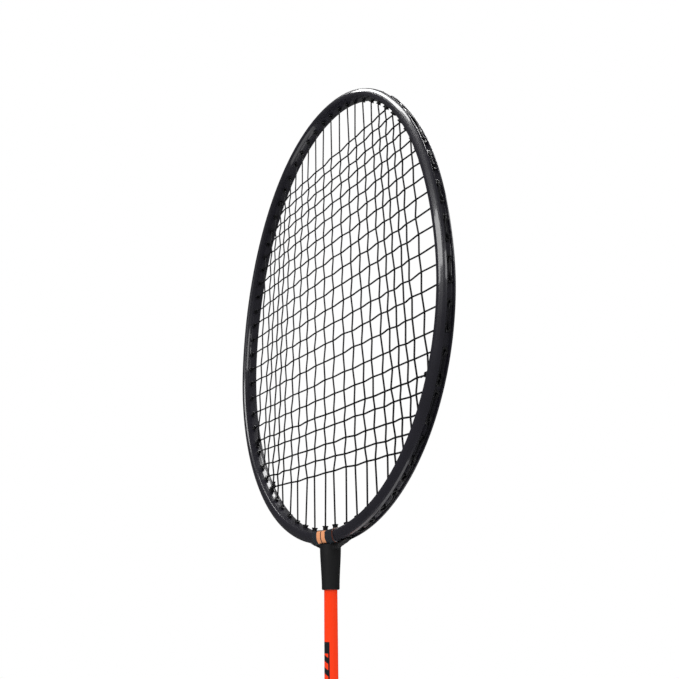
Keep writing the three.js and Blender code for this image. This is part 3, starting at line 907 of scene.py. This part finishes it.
# ---- Shaft ----

SHAFT_WALL = 0.6
SHAFT_RIM = 0.15
PIN_HOLE_RADIUS = 1.4


def make_shaft():
    """Steel tube with rounded rims, drilled across for the pin."""
    low, high = (corner.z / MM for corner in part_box("shaft"))
    inner_radius = SHAFT_RADIUS - SHAFT_WALL
    profile = rounded([
        (SHAFT_RADIUS, low, SHAFT_RIM),
        (SHAFT_RADIUS, high, SHAFT_RIM),
        (inner_radius, high, SHAFT_RIM),
        (inner_radius, low, SHAFT_RIM),
    ])
    shaft = new_object("shaft_tube", *lathed(profile, 96))
    reach = 2 * SHAFT_RADIUS
    pin_hole = rod((0, 0, PIN_HEIGHT), ACROSS_HEAD, PIN_HOLE_RADIUS, -reach, reach)
    cut_away(shaft, *pin_hole)
    place(shaft, shaft_lacquer(), "shaft_paint", "shaft", 45)


# ---- Handle ----

HANDLE_HALF_WIDTH = 12.0
HANDLE_HALF_DEPTH = 10.75
FLAT_SHARE_X, FLAT_SHARE_Y = 0.52, 0.45  # how far the flat faces reach
FAR = 60.0  # a face's distance where a direction never meets it
FLARE_TOP, FLARE_BOTTOM, FLARE_GROWTH = 30.0, 8.0, 1.7

HANDLE_CONE_LOW = 172.3
HANDLE_CONE_SKIRT = 180.0
HANDLE_CONE_TOP = 206.0
HANDLE_CONE_TOP_RADIUS = 5.3
HANDLE_CONE_RIM = 0.6
HANDLE_CONE_ROWS = 70
FINE_RING_HEIGHTS = [199.0, 202.0]
FINE_RING_DEPTH = 0.22
FINE_RING_WIDTH = 0.35
SPIGOT_TOP = 184.3
SPIGOT_MARGIN = -3.2  # of the handle's spigot, against the handle

GRIP_BOTTOM, GRIP_TOP = 7.3, 179.0
GRIP_LOWEST_ROW = GRIP_BOTTOM + 0.4
GRIP_ROWS = 420
GRIP_THICKNESS = 1.7
GRIP_INSIDE_MARGIN = 0.3
GRIP_SOFTNESS = 0.9
GRIP_EDGE = 0.5  # how far the grip's lower edge rounds in
GRIP_PITCH = 23.0
GRIP_STEP, GRIP_STEP_LENGTH = 0.45, 0.035  # a turn's edge over the turn before
SEAM_DEPTH, SEAM_WIDTH = 0.35, 0.018
PRESSED_LINE, PRESSED_DEPTH, PRESSED_WIDTH = 0.52, 0.28, 0.022
HOLES_AROUND = 22
HOLE_ROW_HEIGHT = 3.6
HOLE_DEPTH, HOLE_RADIUS, HOLE_EDGE = 0.35, 0.13, 0.08  # the last two in spacings of the holes

TAPE_BOTTOM = 168.0
TAPE_THICKNESS = 0.9
TAPE_TRIM = 0.15
TAPE_LAP = 0.25
HANDLE_COLUMNS = 144
handle_angles = np.linspace(0, FULL_TURN, HANDLE_COLUMNS, endpoint=False)


def flare_at(heights):
    """How much the handle has grown on each side towards the butt."""
    return FLARE_GROWTH * np.clip((FLARE_TOP - heights) / (FLARE_TOP - FLARE_BOTTOM), 0, 1)


def handle_radii(margins, softness=0.5):
    """Radii of the eight-sided handle, one row for each margin that it is larger by."""
    half_x = (HANDLE_HALF_WIDTH + np.asarray(margins, float))[:, None]
    half_y = (HANDLE_HALF_DEPTH + np.asarray(margins, float))[:, None]
    corner_x, corner_y = half_x * FLAT_SHARE_X, half_y * FLAT_SHARE_Y
    slant = np.hypot(half_x - corner_x, half_y - corner_y)
    slant_cosine = (half_y - corner_y) / slant
    slant_sine = (half_x - corner_x) / slant
    slant_reach = slant_cosine * half_x + slant_sine * corner_y
    cosine, sine = np.abs(np.cos(handle_angles)), np.abs(np.sin(handle_angles))
    faces = [
        half_x / np.maximum(cosine, NEARLY_ZERO),
        half_y / np.maximum(sine, NEARLY_ZERO),
        slant_reach / (slant_cosine * cosine + slant_sine * sine),
    ]
    return -softness * np.log(sum(np.exp(-np.minimum(face, FAR) / softness) for face in faces))


def handle_rings(radii, heights):
    """Rings from rows of radii and a height for each row."""
    heights = np.broadcast_to(np.asarray(heights, float).reshape(len(radii), -1), radii.shape)
    return np.stack([radii * np.cos(handle_angles), radii * np.sin(handle_angles), heights], axis=-1)


def round_rings(radii, heights):
    """Round rings with as many points as the handle's."""
    flat = np.repeat(np.asarray(radii, float)[:, None], HANDLE_COLUMNS, axis=1)
    return handle_rings(flat, heights)


def make_handle_cone():
    """Moulded cap from the eight-sided handle to the round shaft, with two fine rings."""
    rim_bottom = HANDLE_CONE_TOP - HANDLE_CONE_RIM
    heights = np.linspace(HANDLE_CONE_LOW, rim_bottom, HANDLE_CONE_ROWS)
    climb = (heights - HANDLE_CONE_SKIRT) / (HANDLE_CONE_TOP - HANDLE_CONE_SKIRT)
    roundness = smooth_step(climb)[:, None] ** 0.8
    eight_sided = handle_radii(np.zeros(HANDLE_CONE_ROWS))
    radii = eight_sided * (1 - roundness) + HANDLE_CONE_TOP_RADIUS * roundness
    for ring_height in FINE_RING_HEIGHTS:
        from_ring = (heights - ring_height) / FINE_RING_WIDTH
        radii = radii - FINE_RING_DEPTH * np.exp(-from_ring ** 2)[:, None]
    bend = np.linspace(0, QUARTER_TURN, 5)[1:]
    rim_radii = HANDLE_CONE_TOP_RADIUS - HANDLE_CONE_RIM + HANDLE_CONE_RIM * np.cos(bend)
    rim = round_rings(rim_radii, rim_bottom + HANDLE_CONE_RIM * np.sin(bend))
    bore = round_rings([SHAFT_RADIUS + SHAFT_CLEARANCE] * 2, [HANDLE_CONE_TOP, SPIGOT_TOP])
    socket = handle_rings(handle_radii([SPIGOT_MARGIN] * 2), [SPIGOT_TOP, HANDLE_CONE_LOW])
    rings = [*handle_rings(radii, heights), *rim, *bore, *socket]
    cone = new_object("handle_cap_cone", *loft(rings, joined=True))
    plastic = moulded_plastic("matt_handle_plastic", (0.012, 0.012, 0.013, 1), (0.019, 0.019, 0.021, 1))
    place(cone, plastic, "cone_plastic", "handle_cone", 40)


def grip_relief(across):
    """Height of the wound tape; across is 0 at a turn's lower edge and 1 at its upper edge."""
    step = GRIP_STEP * (1 - across) * smooth_step(across / GRIP_STEP_LENGTH)
    seam = SEAM_DEPTH * np.exp(-(np.minimum(across, 1 - across) / SEAM_WIDTH) ** 2)
    pressed = PRESSED_DEPTH * np.exp(-((across - PRESSED_LINE) / PRESSED_WIDTH) ** 2)
    return step - seam - pressed


def grip_holes(across):
    """1 in a perforation and 0 beside it, with every other row moved half a spacing on."""
    around = handle_angles[None, :] / FULL_TURN * HOLES_AROUND
    row = across * GRIP_PITCH / HOLE_ROW_HEIGHT
    from_hole = np.hypot((row % 1) - 0.5, ((around + 0.5 * np.floor(row)) % 1) - 0.5)
    off_line = np.abs(across - PRESSED_LINE) > 0.06
    off_edges = (across > 0.09) & (across < 0.93)
    return np.where(off_line & off_edges, 1 - smooth_step((from_hole - HOLE_RADIUS) / HOLE_EDGE), 0)


def make_grip():
    """Soft tape wound up the handle: overlapping turns, a pressed line and perforations."""
    heights = np.linspace(GRIP_LOWEST_ROW, GRIP_TOP, GRIP_ROWS)[:, None]
    turns = heights / GRIP_PITCH - handle_angles[None, :] / FULL_TURN
    across = turns % 1.0
    pierced = grip_holes(across)
    below_round = 1 - np.clip(heights - GRIP_BOTTOM, 0, 1)
    edge = GRIP_EDGE * (1 - np.sqrt(1 - below_round ** 2))
    skin = handle_radii(GRIP_THICKNESS + flare_at(heights[:, 0]), GRIP_SOFTNESS)
    radii = skin + grip_relief(across) - HOLE_DEPTH * pierced - edge
    inner_heights = np.array([GRIP_TOP, FLARE_TOP, GRIP_LOWEST_ROW])
    inside = handle_rings(handle_radii(GRIP_INSIDE_MARGIN + flare_at(inner_heights)), inner_heights)
    grip = new_object("grip_tape", *loft([*handle_rings(radii, heights), *inside], joined=True))
    attribute = grip.data.attributes.new("pierced", "FLOAT", "POINT")
    values = np.zeros(len(grip.data.vertices), np.float32)
    values[:pierced.size] = pierced.ravel()
    attribute.data.foreach_set("value", values)
    place(grip, grip_leather(), "grip", "grip_wrap", 60)


def make_finish_tape():
    """Vinyl tape over the grip's last turn, with its end lapped."""
    lap = TAPE_LAP * smooth_step((handle_angles - 0.4) / 0.08) * smooth_step((2.0 - handle_angles) / 1.4)
    middle = np.linspace(TAPE_BOTTOM + 1, GRIP_TOP - 1, 12)
    heights = np.array([TAPE_BOTTOM, TAPE_BOTTOM + TAPE_TRIM, *middle, GRIP_TOP - TAPE_TRIM, GRIP_TOP])
    trims = np.zeros(len(heights))
    trims[[0, -1]] = TAPE_TRIM
    outside = handle_radii(GRIP_THICKNESS + TAPE_THICKNESS - trims, 1.0) + lap
    inside = handle_radii([GRIP_THICKNESS - 0.2] * 2, 1.0)
    rings = [*handle_rings(outside, heights), *handle_rings(inside, [GRIP_TOP, TAPE_BOTTOM])]
    tape = new_object("grip_end_tape", *loft(rings, joined=True))
    place(tape, vinyl_tape(), "finish_tape", "grip_finish_tape", 50)


BUTT_RIM = 7.0
BUTT_MARGIN = 1.5
BUTT_EDGE = 1.8
BUTT_FLOOR = 2.5
BUTT_INSIDE_MARGIN = 0.3 + FLARE_GROWTH
BADGE_RADIUS = 7.7
BADGE_CLEARANCE = 0.15
RECESS_DEPTH = 0.9
RECESS_CHAMFER = 0.3
PINHOLE = 0.02  # radius of the smallest ring of the cap


def make_butt_cap():
    """Moulded cap over the end of the handle, with a recess for the badge."""
    rise = np.linspace(BUTT_RIM, BUTT_EDGE, 8)
    bend = np.linspace(0, QUARTER_TURN, 8)[1:]
    edge_margins = BUTT_MARGIN + FLARE_GROWTH - BUTT_EDGE + BUTT_EDGE * np.cos(bend)
    margins = np.concatenate([BUTT_MARGIN + flare_at(rise), edge_margins])
    heights = np.concatenate([rise, BUTT_EDGE - BUTT_EDGE * np.sin(bend)])
    outside = handle_rings(handle_radii(margins, 1.0), heights)
    wall = BADGE_RADIUS + BADGE_CLEARANCE
    recess_radii = [wall + RECESS_CHAMFER, wall, wall, PINHOLE]
    recess = round_rings(recess_radii, [0, RECESS_CHAMFER, RECESS_DEPTH, RECESS_DEPTH])
    centre = round_rings([PINHOLE], [BUTT_FLOOR])
    inside = handle_rings(handle_radii([BUTT_INSIDE_MARGIN] * 2), [BUTT_FLOOR, BUTT_RIM])
    cap = new_object("butt_cap_moulding", *loft([*outside, *recess, *centre, *inside], joined=True))
    dark, light = (0.011, 0.011, 0.012, 1), (0.019, 0.019, 0.020, 1)
    plastic = moulded_plastic("matt_butt_plastic", dark, light, 0.42, 0.55)
    place(cap, plastic, "cap_plastic", "butt_cap", 40)


def make_badge():
    """Round plate with a shallow dome."""
    low, high = (corner.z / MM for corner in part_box("butt_badge"))
    shares = np.linspace(0, 1, 9)[:-1]
    dome = [(BADGE_RADIUS * share, low + 0.12 * share ** 2) for share in shares]
    rim = [(BADGE_RADIUS, low + 0.25), (BADGE_RADIUS, high), (0, high)]
    badge = new_object("butt_disc", *lathed(np.array(dome + rim), 72))
    place(badge, badge_resin(), "badge", "butt_badge", 50)


# ---- Pieces inside, shown as the CAD model has them ----

def finish_inner_pieces():
    """Metal and wood on the CAD nodes that no piece replaces."""
    inner = {
        "t_joint_core": bare_metal("cast_joint_metal", (0.60, 0.60, 0.62)),
        "shaft_pin": bare_metal("drawn_pin_steel", (0.62, 0.62, 0.64), (0.1, 1, 1)),
        "handle_core": bare_wood(),
    }
    for node, material in inner.items():
        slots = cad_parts[node].data.materials
        slots.clear()
        slots.append(material)


# ---- Camera, light and floor ----

CAMERA_AZIMUTH, CAMERA_LIFT, CAMERA_ROLL = 54.13, 24.68, -0.883  # degrees
CAMERA_FROM_HEAD = np.array([290.2, -201.7, -169.3])
LENS, SENSOR = 34.12, 36.0
LENS_SHIFT = -0.0508


def make_camera():
    """Below the head, to its front right, looking up at it."""
    camera = bpy.data.objects.new("camera", bpy.data.cameras.new("camera"))
    bpy.context.scene.collection.objects.link(camera)
    camera.data.lens = LENS
    camera.data.sensor_width = SENSOR
    camera.data.shift_y = LENS_SHIFT
    camera.data.clip_start = 0.01
    where = (CAMERA_FROM_HEAD + [0, 0, HEAD_MIDDLE]) * MM
    turned = Matrix.Rotation(math.radians(CAMERA_AZIMUTH), 4, "Z")
    tilted = Matrix.Rotation(math.radians(90 + CAMERA_LIFT), 4, "X")
    rolled = Matrix.Rotation(math.radians(CAMERA_ROLL), 4, "Z")
    camera.matrix_world = Matrix.Translation(where) @ turned @ tilted @ rolled
    bpy.context.scene.camera = camera


def make_softbox(name, direction, distance, size, brightness):
    """Area light that faces the head from an (azimuth, elevation) in degrees."""
    turn, lift = (math.radians(angle) for angle in direction)
    away = np.array([math.sin(turn) * math.cos(lift), -math.cos(turn) * math.cos(lift), math.sin(lift)])
    light = bpy.data.lights.new(name, "AREA")
    light.shape = "RECTANGLE"
    light.size, light.size_y = size
    light.energy = brightness * math.pi * size[0] * size[1]
    box = bpy.data.objects.new(name, light)
    bpy.context.scene.collection.objects.link(box)
    box.location = np.array([0, 0, HEAD_MIDDLE * MM]) + away * distance
    box.rotation_mode = "QUATERNION"
    box.rotation_quaternion = Vector(away).to_track_quat("Z", "Y")
    box.visible_camera = False


def make_lights():
    """Soft boxes that shine in the facets of the tube."""
    make_softbox("top_softbox", (-26, 72), 1.5, (0.95, 0.38), 9.0)
    make_softbox("back_softbox", (-176, 57), 1.5, (0.6, 0.6), 8.0)
    make_softbox("front_softbox", (13, 29.5), 1.6, (1.2, 0.36), 6.5)
    make_softbox("low_softbox", (92, 19), 1.6, (0.5, 0.3), 4.0)
    make_softbox("rim_softbox", (-170, 29), 1.7, (0.5, 0.5), 1.5)


AMBIENT_DIFFUSE = 1.15  # how brightly the white background lights the racket
AMBIENT_GLOSS = 0.1  # and how brightly it shows in gloss


def make_background():
    """White to the camera, a little brighter as diffuse light and dim in reflections."""
    world = bpy.data.worlds.new("white_studio")
    bpy.context.scene.world = world
    world.use_nodes = True
    tree = world.node_tree
    seen = tree.nodes["Background"]
    seen.inputs["Color"].default_value = (1, 1, 1, 1)
    seen.inputs["Strength"].default_value = 1.0
    lighting = tree.nodes.new("ShaderNodeBackground")
    path = tree.nodes.new("ShaderNodeLightPath")
    strength = tree.nodes.new("ShaderNodeMath")
    strength.operation = "MULTIPLY_ADD"
    strength.inputs[1].default_value = AMBIENT_DIFFUSE - AMBIENT_GLOSS
    strength.inputs[2].default_value = AMBIENT_GLOSS
    chosen = tree.nodes.new("ShaderNodeMixShader")
    tree.links.new(path.outputs["Is Diffuse Ray"], strength.inputs[0])
    tree.links.new(strength.outputs[0], lighting.inputs["Strength"])
    tree.links.new(path.outputs["Is Camera Ray"], chosen.inputs[0])
    tree.links.new(lighting.outputs[0], chosen.inputs[1])
    tree.links.new(seen.outputs[0], chosen.inputs[2])
    tree.links.new(chosen.outputs[0], tree.nodes["World Output"].inputs["Surface"])
    bpy.context.scene.view_settings.view_transform = "Standard"


FLOOR_RADIUS = 280.0
FLOOR_GAP = 0.1  # keeps the floor clear of the butt end


def make_floor():
    """Round pale floor under the butt end."""
    points = FLOOR_RADIUS * circle_about(UP, ACROSS_HEAD, 96) - FLOOR_GAP * UP
    floor = new_object("studio_floor", points, [tuple(range(len(points)))])
    pale = Finish("pale_floor")
    cloud = pale.noise(3, 2)
    pale.set(base_color=pale.mix(cloud, (0.80, 0.80, 0.80, 1), (0.84, 0.84, 0.84, 1)))
    pale.roughen(cloud, 0.75, 0.85)
    floor.data.materials.append(pale.material)


make_camera()
make_lights()
make_background()
make_floor()
make_hoop()
make_grommets()
make_strings()
make_collar()
make_cone()
make_shaft()
make_handle_cone()
make_grip()
make_finish_tape()
make_butt_cap()
make_badge()
finish_inner_pieces()
